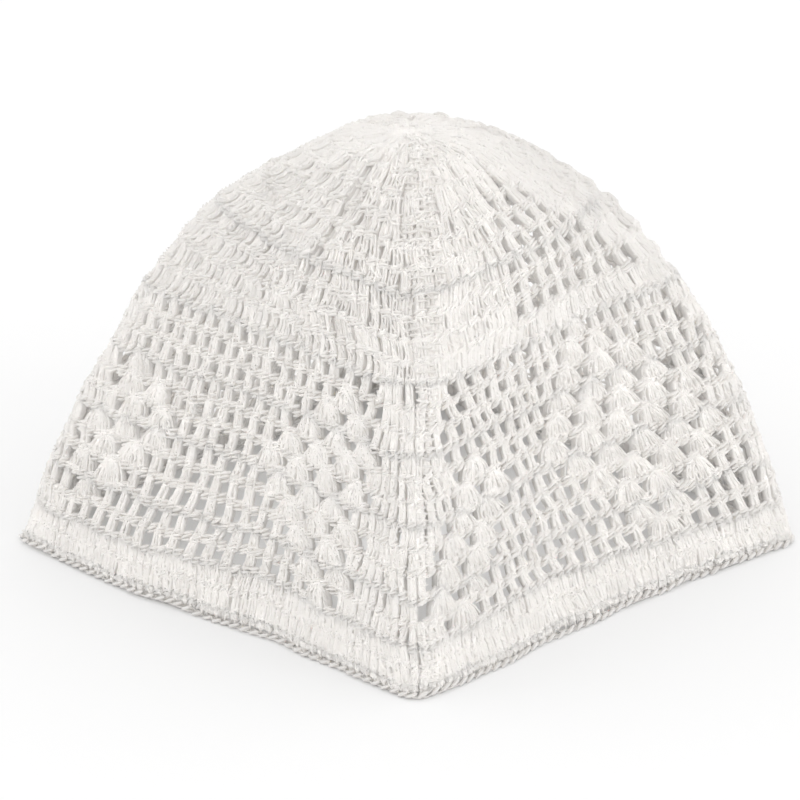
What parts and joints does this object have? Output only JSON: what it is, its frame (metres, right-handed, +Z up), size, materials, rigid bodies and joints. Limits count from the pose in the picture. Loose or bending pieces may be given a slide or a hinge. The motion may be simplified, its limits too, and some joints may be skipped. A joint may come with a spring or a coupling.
{
  "type": "prayer cap",
  "caption": "Soft brimless crocheted prayer cap, peaked into ridges, with net and shell openwork round its sides and a corded square rim.",
  "frame": {"origin": "middle of the rim, in the plane that the rim rests on", "axes": "+Z up through the crown, -Y towards the front ridge, +X to the wearer's left, which is the right of the picture"},
  "size_m": [0.1734, 0.1858, 0.096],
  "materials": {
    "crown_cotton": "matt twisted cotton yarn",
    "band_cotton": "matt twisted cotton yarn",
    "rim_cotton": "matt twisted cotton yarn",
    "edge_cotton": "matt twisted cotton yarn"
  },
  "bodies": {
    "root": {"crown": "crown_cotton", "openwork_band": "band_cotton", "rim_band": "rim_cotton", "rim_edge": "edge_cotton"}
  },
  "joints": []
}
